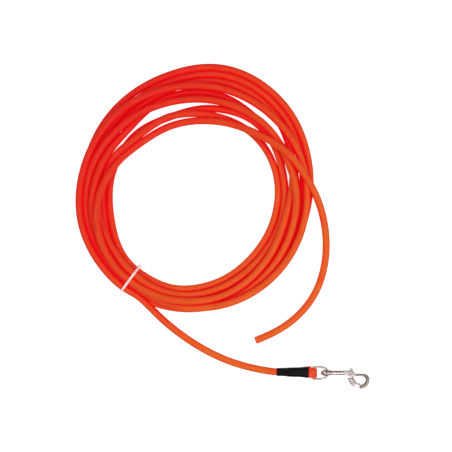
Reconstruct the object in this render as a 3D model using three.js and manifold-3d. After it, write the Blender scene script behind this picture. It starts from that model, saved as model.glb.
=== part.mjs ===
// A training leash: one long coated cord, wound into a coil and held by a cable tie, with a
// swivel trigger snap on its inner end. Millimetres, +Z up.
// The origin lies on the surface that the leash rests on, under the middle of the snap fitting.
// +X runs along the fitting, from the shrink sleeve to the hook.

import * as THREE from 'three';
import { mergeVertices } from 'three/addons/utils/BufferGeometryUtils.js';
import Module from 'manifold-3d';

const wasm = await Module();
wasm.setup();

// ---- driving dimensions ----

const CORD_DIAMETER = 6;
const CORD_RADIUS = CORD_DIAMETER / 2;
const CORD_SIDES = 12;
const CORD_STEP = 2.4 * CORD_DIAMETER; // between the rings of a cord tube
const GAP = 0.3; // between solids that meet face to face
const STRETCH_GAP = 0.8; // between the coil and each loose stretch, whose ends are not quite parallel

// The coil: a ring of uneven width. Its radii are given every 30 degrees, anticlockwise from +X.
const COIL_CENTRE = new THREE.Vector2(-108, 151);
const COIL_OUTER_RADII = [98, 106, 111, 107.3, 100.7, 95.8, 95.7, 98.2, 97.6, 97.9, 96.9, 97.9];
const COIL_INNER_RADII = [69.7, 69.1, 64.7, 57.7, 56.7, 62.3, 66.4, 70.6, 75.1, 73, 68.3, 68.3];
const COIL_HEIGHT = 15.5;
const COIL_EDGE = 2.4; // bevel round the coil's edges
const COIL_FACETS = 72;

// The stretch of cord from the coil's outside to the sleeve, and how much of it the coil solid holds.
const SNAP_STRETCH = [
  [-155.5, 69.4, 9.0], [-148.9, 63.6, 7.0], [-142.3, 57.0, 5.0], [-136.0, 50.4, 3.6],
  [-127.0, 42.4, 3.1], [-116.3, 34.2, 3.1], [-104.0, 26.0, 3.1], [-90.8, 18.8, 3.1],
  [-77.0, 12.9, 3.1], [-62.7, 8.5, 3.1], [-52.0, 6.2, 3.1], [-45.0, 4.9, 3.2],
  [-38.7, 4.3, 3.35],
];
const SNAP_STUB = 24;

// The stretch from the top of the coil to the cut end, which lies inside the bend below the coil.
const FREE_STRETCH = [
  [-20.8, 174.3, 13.6], [-13.3, 163.4, 11.5], [-6.6, 151.6, 8.2], [-1.5, 138.0, 4.6],
  [1.6, 123.5, 3.1], [2.6, 108.5, 3.1], [1.0, 92.0, 3.1], [-4.0, 75.0, 3.1],
  [-12.0, 61.0, 3.1], [-23.5, 48.5, 3.1], [-38.5, 38.1, 3.1], [-56.1, 30.2, 3.1],
];
const FREE_STUB = 30;

// The cable tie round the coil's narrowest place.
const TIE_ANGLE = THREE.MathUtils.degToRad(233.5);
const TIE_INSIDE_RADIUS = 74.3; // from the coil's centre to the tie's inner side
const TIE_OUTSIDE_RADIUS = 99.3;
const TIE_THICKNESS = 1.1;
const TIE_WIDTH = 2.4;
const TIE_HEIGHT = COIL_HEIGHT + 2 * (TIE_THICKNESS + GAP);
const TIE_CORNER = 5;
const TIE_HEAD = [3.6, 4.4, 5]; // across, along the cord, up

// The snap's line, and the shrink sleeve's, round the folded-back end of the cord.
const SNAP_Y = 3.6;
const SLEEVE_Y = 4.3;
const SLEEVE_WALL = 0.45;
// Each row of a profile: X, the middle's Z, half the width, half the height, and how much of
// that half height is straight side.
const SLEEVE_PROFILE = [
  [-38.5, 3.35, 3.35, 3.35, 0], [-32.2, 3.4, 3.4, 3.4, 0], [-29, 5.2, 3.7, 5.2, 2.5],
  [-20, 5.3, 3.85, 5.3, 2.6], [-12.1, 5.35, 4.05, 5.35, 2.6],
];
// The cord inside the sleeve: out along the bottom, round the eye's bar and back along the top.
// Its profiles have no straight side.
const LOOP_PROFILE = [
  [-38.1, 3.35, 2.75, 2.75], [-32.5, 3.4, 2.8, 2.75], [-29, 2.95, 3.05, 2.25],
  [-20, 2.9, 3.1, 2.2], [-12.5, 2.9, 3.3, 2.2],
];
const TAIL_PROFILE = [
  [-12.5, 7.75, 3.3, 2.2], [-20, 7.75, 3.1, 2.2], [-28, 7.7, 3.05, 2.2],
];
const FOLD_HALF_WIDTH = 3.9;
const FOLD_HALF_THICKNESS = 1.3;

// Two crimp bands that clamp the folded-back tail to the cord.
const CRIMP_POSITIONS = [-24, -16.5];
const CRIMP_WIDTH = 3.5;
const CRIMP_THICKNESS = 0.6;

// The swivel eye, in the snap's own frame: its origin is the middle of the eye's straight bar,
// +X runs along the shank and Z is square to the plane of the hook.
const BAR = new THREE.Vector3(-8.8, SNAP_Y, 5);
const EYE_WIRE_RADIUS = 0.85;
const EYE_PATH = [
  [0, 0], [0, 3.4], [0.35, 4.5], [1.4, 5], [4, 5], [7, 4.9], [9.6, 4.35], [11.3, 3.4], [12.5, 2.1],
];
const COLLAR = { start: 11.7, end: 13.3, radius: 2.5, bore: 1.4 };

// The snap body: riveted stud, shoulder, shank and cheeks, then the hook.
// Each row of the stud's profile: X and radius.
const STUD_HEAD_PROFILE = [[6.7, 0], [6.9, 0.9], [8.2, 1.9], [9.6, 2.55], [10.8, 2.6], [11.35, 2.3]];
const STUD_RADIUS = 1.15;
const SHOULDER = { start: 13.65, end: 15, radius: 2.25 };
const SHANK_RADIUS = 1.85;
const SHANK_END = 29;
const CHEEK_OUTLINE = [
  [26, 1.6], [32.2, 1.75], [34.2, 0.4], [36, -0.9], [36, -2.7], [31.5, -2.9], [28, -2.3], [26, -1.6],
];
const CHEEK_THICKNESS = 4;
const SLOT = { start: 28.5, end: 34.9, width: 1.9 };
const SPRING_BORE = { start: 18.4, radius: 1.05, y: 0.35 };
// Each row of the hook's profile: X, Y, half the width in the hook's plane and half the thickness.
const HOOK_PROFILE = [
  [34.9, -1.8, 0.95, 1.5], [38, -1.85, 1.05, 1.5], [41.5, -1.95, 1.1, 1.5], [43.9, -2.6, 1.35, 1.55],
  [45.4, -4.1, 1.5, 1.6], [45.75, -6, 1.6, 1.6], [45.1, -8.5, 1.65, 1.6], [43.3, -10.7, 1.7, 1.6],
  [41, -11.6, 1.6, 1.5], [39, -11.8, 1.35, 1.3],
];
const HOOK_SEAT_X = 44.35; // the flat inside the bend that a collar ring pulls against
const HOOK_SEAT_Y = [-7.2, -4.4];
const HOOK_HALF_THICKNESS = 1.6;
const HOOK_LOW_X = 46; // where the hook comes down to the surface

// The gate turns on a pin between the cheeks. Its heel stands up past the pin.
const PIVOT = new THREE.Vector2(32.8, -0.75);
const GATE_THICKNESS = 1.4;
const GATE_OUTLINE = [
  [31.3, 1.2], [31.9, 2.35], [30.9, 2.45], [30.6, 3.1], [31.1, 3.65], [33, 3.7], [33.7, 3], [33.7, 1.4],
  [34.4, 0.2], [34.4, -1.5], [34.1, -3.6], [34.9, -5.7], [36.2, -7.6], [37.8, -8.75], [39.6, -8.95],
  [39.7, -10.1], [38, -10.15], [35.6, -9], [33.8, -7.2], [32.7, -5], [32.4, -3], [31.3, -1.9],
];
const LOBE_OUTLINE = [
  [29.4, -4.9], [29.7, -4.4], [31.9, -4.3], [33.9, -5.6], [35.2, -7.8], [35.5, -10.2], [34.9, -11.6],
  [34.3, -11.6], [32.5, -10.2], [30.5, -7.8],
];
const LOBE_THICKNESS = 2.8;
const PIN = { radius: 0.6, hole: 0.75, headRadius: 1.1, headHeight: 0.35 };
const SPRING = { radius: 0.75, wire: 0.16, turns: 10, end: 31 };

// The snap hangs down from the bar by the angle that brings the hook to the surface.
const SNAP_DROP = Math.asin((BAR.z - HOOK_HALF_THICKNESS - 0.05) / HOOK_LOW_X);

// ---- materials ----

const material = (color, roughness, metalness) =>
  new THREE.MeshStandardMaterial({ color, roughness, metalness });
const orangeCoat = material(0xe8461f, 0.45, 0);
const blackShrink = material(0x1b191b, 0.5, 0);
const nickel = material(0xb9b2aa, 0.25, 1);
const springSteel = material(0x8d8a86, 0.35, 1);
const clearNylon = material(0xe9e0da, 0.5, 0);

// ---- solids ----

function toSolid(geometry) {
  const bare = geometry.clone();
  bare.deleteAttribute('normal');
  bare.deleteAttribute('uv');
  const merged = mergeVertices(bare, 1e-4);
  const mesh = new wasm.Mesh({
    numProp: 3,
    vertProperties: merged.attributes.position.array,
    triVerts: new Uint32Array(merged.index.array),
  });
  return new wasm.Manifold(mesh);
}

function toGeometry(solid) {
  const mesh = solid.getMesh();
  const geometry = new THREE.BufferGeometry();
  geometry.setAttribute('position', new THREE.BufferAttribute(mesh.vertProperties, 3));
  geometry.setIndex(new THREE.BufferAttribute(mesh.triVerts, 1));
  return geometry;
}

function join(first, ...others) {
  return toGeometry(others.reduce((sum, other) => sum.add(toSolid(other)), toSolid(first)));
}

function cut(first, ...cutters) {
  return toGeometry(cutters.reduce((rest, cutter) => rest.subtract(toSolid(cutter)), toSolid(first)));
}

function circle(radius, sides) {
  const shape = new THREE.Shape();
  for (let i = 0; i < sides; i += 1) {
    const angle = (i / sides) * 2 * Math.PI;
    const x = radius * Math.cos(angle);
    const y = radius * Math.sin(angle);
    if (i === 0) shape.moveTo(x, y);
    else shape.lineTo(x, y);
  }
  shape.closePath();
  return shape;
}

// A round bar that follows the points.
function tube(points, radius, sides, steps) {
  const path = new THREE.CatmullRomCurve3(points, false, 'centripetal');
  return new THREE.ExtrudeGeometry(circle(radius, sides), { extrudePath: path, steps });
}

// A plate with this outline, in the XY plane, centred on Z = 0.
function plate(outline, thickness, bevel) {
  const shape = new THREE.Shape(outline.map(([x, y]) => new THREE.Vector2(x, y)));
  const geometry = new THREE.ExtrudeGeometry(shape, {
    depth: thickness - 2 * bevel,
    bevelEnabled: bevel > 0,
    bevelThickness: bevel,
    bevelSize: bevel,
    bevelOffset: -bevel,
    bevelSegments: 1,
  });
  return geometry.translate(0, 0, bevel - thickness / 2);
}

// A solid of revolution round the X axis. Each row of the profile: X and radius.
function turned(profile, segments) {
  const points = profile.map(([x, radius]) => new THREE.Vector2(radius, x));
  return new THREE.LatheGeometry(points, segments).rotateZ(-Math.PI / 2);
}

function rod(startX, endX, radius, segments) {
  return turned([[startX, 0], [startX, radius], [endX, radius], [endX, 0]], segments);
}

function box(low, high) {
  const size = high.map((value, i) => value - low[i]);
  const middle = high.map((value, i) => (value + low[i]) / 2);
  return new THREE.BoxGeometry(...size).translate(...middle);
}

// A closed section, between an oval and a rounded rectangle, with straight sides if it says so.
function section(middle, across, up, halfWidth, halfHeight, count, straight = 0) {
  const SQUARENESS = 0.82;
  const bulge = (value) => Math.sign(value) * Math.abs(value) ** SQUARENESS;
  const ring = [];
  for (let i = 0; i < count; i += 1) {
    const angle = (i / count) * 2 * Math.PI;
    const point = middle.clone();
    point.addScaledVector(across, halfWidth * bulge(Math.cos(angle)));
    const rise = bulge(Math.sin(angle));
    point.addScaledVector(up, (halfHeight - straight) * rise + straight * Math.sign(rise));
    ring.push(point);
  }
  return ring;
}

// A skin over a row of sections, closed with a flat face at each end.
function loft(sections) {
  const count = sections[0].length;
  const positions = sections.flat().flatMap((point) => [point.x, point.y, point.z]);
  const index = [];
  for (let row = 0; row + 1 < sections.length; row += 1) {
    for (let i = 0; i < count; i += 1) {
      const a = row * count + i;
      const b = row * count + ((i + 1) % count);
      index.push(a, b, a + count, b, b + count, a + count);
    }
  }
  const last = (sections.length - 1) * count;
  for (let i = 1; i + 1 < count; i += 1) {
    index.push(0, i + 1, i);
    index.push(last, last + i, last + i + 1);
  }
  const geometry = new THREE.BufferGeometry();
  geometry.setAttribute('position', new THREE.Float32BufferAttribute(positions, 3));
  geometry.setIndex(index);
  return geometry;
}

// A skin over sections that are square to X, from the rows of the sleeve's profile.
function sleeveShape(profile, inset, overrun) {
  const first = profile[0];
  const last = profile[profile.length - 1];
  const rows = [...profile];
  if (overrun > 0) {
    rows.unshift([first[0] - overrun, ...first.slice(1)]);
    rows.push([last[0] + overrun, ...last.slice(1)]);
  }
  const SECTION_POINTS = 28;
  return loft(rows.map(([x, z, halfWidth, halfHeight, straight]) => section(
    new THREE.Vector3(x, SLEEVE_Y, z),
    new THREE.Vector3(0, 1, 0),
    new THREE.Vector3(0, 0, 1),
    halfWidth - inset,
    halfHeight - inset,
    SECTION_POINTS,
    straight,
  )));
}

// The part of a route between two distances along it, as points a cord step apart.
function stretch(route, from, to) {
  const curve = new THREE.CatmullRomCurve3(
    route.map((point) => new THREE.Vector3(...point)), false, 'centripetal');
  const length = curve.getLength();
  const end = Math.min(to, length);
  const steps = Math.max(2, Math.round((end - from) / CORD_STEP));
  const points = [];
  for (let i = 0; i <= steps; i += 1) {
    const distance = from + (end - from) * (i / steps);
    points.push(curve.getPointAt(Math.min(1, distance / length)));
  }
  return { points, steps };
}

function cordTube(route, from, to) {
  const { points, steps } = stretch(route, from, to);
  return tube(points, CORD_RADIUS, CORD_SIDES, steps);
}

// ---- cord ----

function coilOutline(radii) {
  const points = radii.map((radius, i) => {
    const angle = (i / radii.length) * 2 * Math.PI;
    return new THREE.Vector3(
      COIL_CENTRE.x + radius * Math.cos(angle), COIL_CENTRE.y + radius * Math.sin(angle), 0);
  });
  const curve = new THREE.CatmullRomCurve3(points, true);
  return curve.getPoints(COIL_FACETS).slice(0, COIL_FACETS).map((p) => new THREE.Vector2(p.x, p.y));
}

function coilRing() {
  const shape = new THREE.Shape(coilOutline(COIL_OUTER_RADII));
  shape.holes.push(new THREE.Path(coilOutline(COIL_INNER_RADII)));
  const ring = new THREE.ExtrudeGeometry(shape, {
    depth: COIL_HEIGHT - 2 * COIL_EDGE,
    bevelThickness: COIL_EDGE,
    bevelSize: COIL_EDGE,
    bevelOffset: -COIL_EDGE,
    bevelSegments: 2,
  });
  return ring.translate(0, 0, COIL_EDGE);
}

// Moves a shape made round the origin, with X across the bundle and Y along it, to the tie.
function placeAtTie(geometry) {
  const radius = (TIE_INSIDE_RADIUS + TIE_OUTSIDE_RADIUS) / 2;
  geometry.rotateZ(TIE_ANGLE);
  return geometry.translate(
    COIL_CENTRE.x + radius * Math.cos(TIE_ANGLE), COIL_CENTRE.y + radius * Math.sin(TIE_ANGLE), 0);
}

// The outline of the cable tie, drawn in by the inset, as a solid that is this wide along the cord.
function tieShape(inset, width) {
  const w = (TIE_OUTSIDE_RADIUS - TIE_INSIDE_RADIUS) / 2 - inset;
  const low = inset;
  const high = TIE_HEIGHT - inset;
  const r = TIE_CORNER - inset;
  const shape = new THREE.Shape();
  shape.moveTo(-w + r, low);
  shape.lineTo(w - r, low);
  shape.absarc(w - r, low + r, r, -Math.PI / 2, 0);
  shape.absarc(w - r, high - r, r, 0, Math.PI / 2);
  shape.absarc(-w + r, high - r, r, Math.PI / 2, Math.PI);
  shape.absarc(-w + r, low + r, r, Math.PI, 1.5 * Math.PI);
  const solid = new THREE.ExtrudeGeometry(shape, { depth: width, bevelEnabled: false, curveSegments: 6 });
  return solid.rotateX(Math.PI / 2).translate(0, width / 2, 0);
}

// The tie's head, on the side that faces the coil's centre, grown all round by the margin.
function tieHead(margin) {
  const side = (TIE_INSIDE_RADIUS - TIE_OUTSIDE_RADIUS) / 2 + TIE_THICKNESS / 2;
  const [across, along, up] = TIE_HEAD;
  return box(
    [side - across - margin, -along / 2 - margin, TIE_CORNER - margin],
    [side + margin, along / 2 + margin, TIE_CORNER + up + margin]);
}

// The wound bundle, with the start of each loose stretch, drawn in where the tie holds it.
function coil() {
  const grooveHalfWidth = TIE_WIDTH / 2 + GAP;
  const halfBundle = TIE_OUTSIDE_RADIUS - TIE_INSIDE_RADIUS;
  const slab = box(
    [-halfBundle, -grooveHalfWidth, -TIE_HEIGHT], [halfBundle, grooveHalfWidth, 2 * TIE_HEIGHT]);
  const groove = cut(slab, tieShape(TIE_THICKNESS + GAP, 4 * TIE_WIDTH));
  const solid = join(
    coilRing(), cordTube(SNAP_STRETCH, 0, SNAP_STUB), cordTube(FREE_STRETCH, 0, FREE_STUB));
  return cut(solid, placeAtTie(groove), placeAtTie(tieHead(GAP)));
}

// The cord inside the sleeve, folded round the eye's bar and flattened there.
function endLoop() {
  const FOLD_STEPS = 12;
  const SECTION_POINTS = 24;
  const across = new THREE.Vector3(0, 1, 0);
  const foldRadius = EYE_WIRE_RADIUS + 0.2 + FOLD_HALF_THICKNESS;
  const leg = (direction) => ([x, z, halfWidth, halfHeight]) => section(
    new THREE.Vector3(x, SLEEVE_Y, z), across, new THREE.Vector3(0, 0, direction),
    halfWidth, halfHeight, SECTION_POINTS);
  const fold = [];
  for (let i = 0; i <= FOLD_STEPS; i += 1) {
    const angle = -Math.PI / 2 + (i / FOLD_STEPS) * Math.PI;
    const outward = new THREE.Vector3(Math.cos(angle), 0, Math.sin(angle));
    const middle = BAR.clone().addScaledVector(outward, foldRadius);
    fold.push(section(
      middle, across, outward.clone().negate(), FOLD_HALF_WIDTH, FOLD_HALF_THICKNESS, SECTION_POINTS));
  }
  return loft([...LOOP_PROFILE.map(leg(1)), ...fold, ...TAIL_PROFILE.map(leg(-1))]);
}

function cableTie() {
  const band = cut(tieShape(0, TIE_WIDTH), tieShape(TIE_THICKNESS, 2 * TIE_WIDTH));
  return placeAtTie(join(band, tieHead(0)));
}

// ---- sleeve and crimps ----

function shrinkSleeve() {
  return cut(sleeveShape(SLEEVE_PROFILE, 0, 0), sleeveShape(SLEEVE_PROFILE, SLEEVE_WALL, 1));
}

// A slice of the space round the sleeve, square to X, that is this much wider than a crimp band.
function slice(x, extraWidth) {
  const REACH = 20;
  const halfWidth = CRIMP_WIDTH / 2 + extraWidth;
  return box([x - halfWidth, SLEEVE_Y - REACH, -REACH], [x + halfWidth, SLEEVE_Y + REACH, REACH]);
}

function crimpShape(x, inset, extraWidth) {
  const CLEARANCE = 0.2;
  const profile = sleeveShape(SLEEVE_PROFILE, SLEEVE_WALL + CLEARANCE + inset, 0);
  return toGeometry(toSolid(profile).intersect(toSolid(slice(x, extraWidth))));
}

function crimpBand(x) {
  return cut(crimpShape(x, 0, 0), crimpShape(x, CRIMP_THICKNESS, 1));
}

// The end loop, pinched where the crimp bands bite.
function pinchedEndLoop() {
  const BITE = 0.15;
  const bites = CRIMP_POSITIONS.map(
    (x) => cut(slice(x, BITE), crimpShape(x, CRIMP_THICKNESS + BITE, 1)));
  return cut(endLoop(), ...bites);
}

// ---- snap ----

function swivelEye() {
  const WIRE_SIDES = 10;
  const WIRE_STEPS = 44;
  const half = EYE_PATH.map(([x, y]) => new THREE.Vector3(x, y, 0));
  const mirrored = half.slice(1).map((point) => new THREE.Vector3(point.x, -point.y, 0));
  const ring = tube([...mirrored.reverse(), ...half], EYE_WIRE_RADIUS, WIRE_SIDES, WIRE_STEPS);
  const collar = rod(COLLAR.start, COLLAR.end, COLLAR.radius, 28);
  const bore = rod(COLLAR.start - 2, COLLAR.end + 2, COLLAR.bore, 20);
  return cut(join(ring, collar), bore);
}

function hookBend() {
  const SECTION_POINTS = 14;
  const ROWS = 30;
  const line = new THREE.CatmullRomCurve3(
    HOOK_PROFILE.map(([x, y]) => new THREE.Vector3(x, y, 0)), false, 'centripetal');
  const sizes = new THREE.CatmullRomCurve3(
    HOOK_PROFILE.map(([, , width, thickness]) => new THREE.Vector3(width, thickness, 0)),
    false, 'centripetal');
  const up = new THREE.Vector3(0, 0, 1);
  const sections = [];
  for (let i = 0; i <= ROWS; i += 1) {
    const place = i / ROWS;
    const inPlane = up.clone().cross(line.getTangent(place)).negate();
    const size = sizes.getPoint(place);
    sections.push(section(line.getPoint(place), inPlane, up, size.x, size.y, SECTION_POINTS));
  }
  return loft(sections.reverse());
}

function snapBody() {
  const stud = turned([
    ...STUD_HEAD_PROFILE, [STUD_HEAD_PROFILE.at(-1)[0], STUD_RADIUS], [SHOULDER.start, STUD_RADIUS],
    [SHOULDER.start, SHOULDER.radius], [SHOULDER.end, SHOULDER.radius], [SHOULDER.end + 0.6, SHANK_RADIUS],
    [SHANK_END, SHANK_RADIUS], [SHANK_END, 0],
  ], 28);
  const cheeks = plate(CHEEK_OUTLINE, CHEEK_THICKNESS, 0.4);
  const slot = box([SLOT.start, -6, -SLOT.width / 2], [SLOT.end, 6, SLOT.width / 2]);
  const springBore = rod(SPRING_BORE.start, SLOT.start + 1, SPRING_BORE.radius, 16);
  springBore.translate(0, SPRING_BORE.y, 0);
  const pinHole = new THREE.CylinderGeometry(PIN.hole, PIN.hole, 12, 20).rotateX(Math.PI / 2);
  pinHole.translate(PIVOT.x, PIVOT.y, 0);
  const seat = box(
    [HOOK_SEAT_X - 4, HOOK_SEAT_Y[0], -CHEEK_THICKNESS], [HOOK_SEAT_X, HOOK_SEAT_Y[1], CHEEK_THICKNESS]);
  return cut(join(stud, cheeks, hookBend()), slot, springBore, pinHole, seat);
}

function gate() {
  const leaf = plate(GATE_OUTLINE, GATE_THICKNESS, 0.15);
  const lobe = plate(LOBE_OUTLINE, LOBE_THICKNESS, 0.4);
  const hole = new THREE.CylinderGeometry(PIN.hole, PIN.hole, 12, 20).rotateX(Math.PI / 2);
  hole.translate(PIVOT.x, PIVOT.y, 0);
  return cut(join(leaf, lobe), hole);
}

function gatePin() {
  const half = CHEEK_THICKNESS / 2 + 0.1;
  const profile = [
    [-half - PIN.headHeight, 0], [-half - PIN.headHeight, PIN.headRadius * 0.7], [-half, PIN.headRadius],
    [-half, PIN.radius], [half, PIN.radius], [half, PIN.headRadius],
    [half + PIN.headHeight, PIN.headRadius * 0.7], [half + PIN.headHeight, 0],
  ];
  return turned(profile, 20).rotateY(-Math.PI / 2).translate(PIVOT.x, PIVOT.y, 0);
}

function gateSpring() {
  const STEPS_PER_TURN = 10;
  const start = SPRING_BORE.start + SPRING.wire + 0.1;
  const steps = SPRING.turns * STEPS_PER_TURN;
  const points = [];
  for (let i = 0; i <= steps; i += 1) {
    const angle = (i / STEPS_PER_TURN) * 2 * Math.PI;
    const x = start + (SPRING.end - SPRING.wire - start) * (i / steps);
    points.push(new THREE.Vector3(
      x, SPRING_BORE.y + SPRING.radius * Math.cos(angle), SPRING.radius * Math.sin(angle)));
  }
  return tube(points, SPRING.wire, 5, steps);
}

// ---- assembly ----

const leash = new THREE.Group();

function add(group, name, geometry, look) {
  const mesh = new THREE.Mesh(geometry, look);
  mesh.name = name;
  group.add(mesh);
}

add(leash, 'cord_coil', coil(), orangeCoat);
add(leash, 'cord_snap_stretch', cordTube(SNAP_STRETCH, SNAP_STUB + STRETCH_GAP, Infinity), orangeCoat);
add(leash, 'cord_free_stretch', cordTube(FREE_STRETCH, FREE_STUB + STRETCH_GAP, Infinity), orangeCoat);
add(leash, 'cord_end_loop', pinchedEndLoop(), orangeCoat);
add(leash, 'coil_tie', cableTie(), clearNylon);
add(leash, 'shrink_sleeve', shrinkSleeve(), blackShrink);
CRIMP_POSITIONS.forEach((x, i) => add(leash, `crimp_band_${i + 1}`, crimpBand(x), nickel));

const snap = new THREE.Group();
snap.position.copy(BAR);
snap.rotation.y = SNAP_DROP;
leash.add(snap);
add(snap, 'swivel_eye', swivelEye(), nickel);
add(snap, 'snap_body', snapBody(), nickel);
add(snap, 'gate', gate(), nickel);
add(snap, 'gate_pin', gatePin(), nickel);
add(snap, 'gate_spring', gateSpring(), springSteel);

export default leash;
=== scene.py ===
"""A training leash: a long coated cord wound into a coil, with a swivel trigger snap on its end.

Metres, +Z up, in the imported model's own frame: the leash lies on the plane Z = 0 and the snap
fitting runs along +X, with the coil on its +Y side.
"""
import math

import bmesh
import bpy
import numpy as np
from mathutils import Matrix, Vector


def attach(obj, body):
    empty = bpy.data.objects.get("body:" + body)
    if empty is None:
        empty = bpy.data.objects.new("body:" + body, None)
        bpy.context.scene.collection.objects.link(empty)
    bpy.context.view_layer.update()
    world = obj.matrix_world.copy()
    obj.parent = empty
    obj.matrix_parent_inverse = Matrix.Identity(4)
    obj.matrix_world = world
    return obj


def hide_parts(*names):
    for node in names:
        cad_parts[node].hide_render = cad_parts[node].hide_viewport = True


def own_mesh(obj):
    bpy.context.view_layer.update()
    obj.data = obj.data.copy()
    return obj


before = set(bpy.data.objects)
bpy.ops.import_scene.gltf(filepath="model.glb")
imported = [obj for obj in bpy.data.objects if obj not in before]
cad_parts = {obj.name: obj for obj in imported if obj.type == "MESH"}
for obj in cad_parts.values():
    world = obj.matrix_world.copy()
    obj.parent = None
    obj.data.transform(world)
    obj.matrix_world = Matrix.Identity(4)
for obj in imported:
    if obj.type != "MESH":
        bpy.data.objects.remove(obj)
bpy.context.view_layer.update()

MM = 0.001

# ---- the cord: millimetres, as in the part ----

CORD_DIAMETER = 6.0
CORD_RADIUS = CORD_DIAMETER / 2
SLEEVE_MOUTH = (-38.5, 4.3, 3.35)

# From the outside of the coil to the sleeve.
SNAP_STRETCH = [
    (-155.5, 69.4, 9.0), (-148.9, 63.6, 7.0), (-142.3, 57.0, 5.0), (-136.0, 50.4, 3.6),
    (-127.0, 42.4, 3.1), (-116.3, 34.2, 3.1), (-104.0, 26.0, 3.1), (-90.8, 18.8, 3.1),
    (-77.0, 12.9, 3.1), (-62.7, 8.5, 3.1), (-52.0, 6.2, 3.1), (-45.0, 4.9, 3.2),
    (-38.7, 4.3, 3.35),
]
# From the top of the coil to the cut end.
FREE_STRETCH = [
    (-20.8, 174.3, 13.6), (-13.3, 163.4, 11.5), (-6.6, 151.6, 8.2), (-1.5, 138.0, 4.6),
    (1.6, 123.5, 3.1), (2.6, 108.5, 3.1), (1.0, 92.0, 3.1), (-4.0, 75.0, 3.1),
    (-12.0, 61.0, 3.1), (-23.5, 48.5, 3.1), (-38.5, 38.1, 3.1), (-56.1, 30.2, 3.1),
]

COIL_CENTRE = (-108.0, 151.0)
COIL_START_ANGLE = 240  # degrees from +X; the winding runs clockwise
COIL_END_ANGLE = 15
# One row for each turn, from the snap's end on: how far the cord lies from the coil's centre at
# each station, and how high it is laid there, in steps of LAYER_STEP.
STATION_ANGLES = (225, 195, 165, 135, 105, 75, 45, 15, -15, -45, -75, -105)
TURNS = [
    ((94.2, 94.4, 92.4, 91.8, 90.2, 90.8, 92.0, 93.4, 94.6, 94.8, 93.8, 92.2), "322332232222"),
    ((90.0, 89.2, 86.6, 81.6, 78.8, 79.8, 82.4, 85.4, 86.4, 89.2, 93.0, 95.0), "212222332210"),
    ((94.4, 92.4, 91.7, 95.4, 100.2, 108.0, 106.2, 99.4, 93.8, 94.2, 91.2, 89.4), "000011110000"),
    ((88.8, 86.8, 85.9, 88.8, 94.0, 102.3, 100.2, 93.6, 88.8, 89.0, 86.0, 83.8), "000001110000"),
    ((86.0, 85.0, 79.8, 76.6, 85.5, 85.6, 81.4, 86.8, 83.8, 83.2, 80.6, 82.2), "222111010000"),
    ((83.0, 76.4, 75.2, 66.2, 67.6, 67.6, 70.8, 71.9, 71.6, 71.4, 75.2, 79.0), "000121000001"),
    ((77.4, 70.4, 69.5, 69.2, 67.2, 73.8, 80.6, 76.6, 75.1, 76.6, 80.6, 83.8), "000000121123"),
    ((82.0, 79.6, 80.4, 83.0, 88.4, 96.6, 95.0, 85.2, 78.8, 82.2, 87.6, 88.6), "320000023444"),
    ((87.6, 82.2, 71.2, 60.8, 60.0, 63.4, 72.2), "4431013"),
]
LAYER_STEP = 2.6

# The cable tie's place, and the room that it leaves the strands: how far from the coil's centre,
# and up to what height.
TIE_ANGLE = 233.5
TIE_HALF_ANGLE = 1.5
TIE_INSIDE = (75.0, 98.6)
TIE_TOP = 17.2
FUNNEL = 0.03  # mm for each square degree, how the bundle widens on both sides of the tie

TIE_THICKNESS = 1.1
TIE_WIDTH = 2.0
TIE_SIDES = 16
TIE_SEARCH_STEP = 3  # degrees between the directions in which the outermost strand is looked for
TIE_STEP = 0.4  # mm between the points of the band
TIE_ROUNDING = 3  # smoothing passes round the band
TIE_SQUARENESS = 0.5
TIE_HEAD_Z = 7.5
TIE_HEAD_OFFSET = 0.9  # from the band's middle to the head's
# Each row of the head: height above its middle, half the width and half the depth.
TIE_HEAD_ROWS = [(-2.3, 1.1, 1.5), (-2.1, 1.4, 1.8), (2.1, 1.4, 1.8), (2.3, 1.1, 1.5)]
TIE_HEAD_SIDES = 32
TIE_HEAD_SQUARENESS = 0.4
TIE_TAIL_OFFSET = 0.2  # from the head's middle to the trimmed tail's
TIE_TAIL_LENGTH = 3.2
TIE_TAIL_HALF_THICKNESS = 0.5
TIE_VOXEL = 0.16
TIE_SMOOTHING = 2

# How the winding settles.
SLICES = 120  # in each turn
CLEARANCE = 0.05  # mm between the lowest strands and the surface
SETTLE_STEPS = 500
PRESSED = 5.8  # mm between the middles of two strands that lie hard against each other
LEAST_DISTANCE = 0.01  # mm, so that two strands in one place still have a direction apart
NOWHERE = 1000.0  # mm, the radius of a slice that the last turn doesn't reach
PULL = 0.1  # towards the wound radius, each step
TIGHTEN = 0.02  # how fast the pull grows on a strand that has been pushed aside
MOST_AIM = 4.0  # mm, the furthest that the pull aims beyond the wound radius
FALL = 0.04  # mm, each step
STIFFENING = 4  # smoothing passes along the cord, each step
PARTINGS = 2  # times that strands are moved apart, each step
PARTING_SHARE = 0.9  # of the overlap, each time
LAST_STEPS = 60  # at the end, without the pull
LAST_SMOOTHING = 10  # smoothing passes over the whole route

RING_STEP = 2.2  # mm between the rings of the cord's surface
RING_SIDES = 24
MOUTH_INSET = 0.2  # mm that the cord's first ring is smaller, inside the sleeve's mouth
# Rings past the cut: how far each stands out, and its radius. The last ones are the core's face.
CUT_END_ROWS = [
    (0.05, 2.93), (0.09, 2.8), (0.1, 2.25), (0.0, 2.12), (0.14, 1.7), (0.24, 1.0), (0.26, 0.3),
]
CORE_RINGS = 5

# ---- the fitting: millimetres, as in the part ----

SLEEVE_Y = 4.3
SLEEVE_WALL = 0.45
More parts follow.
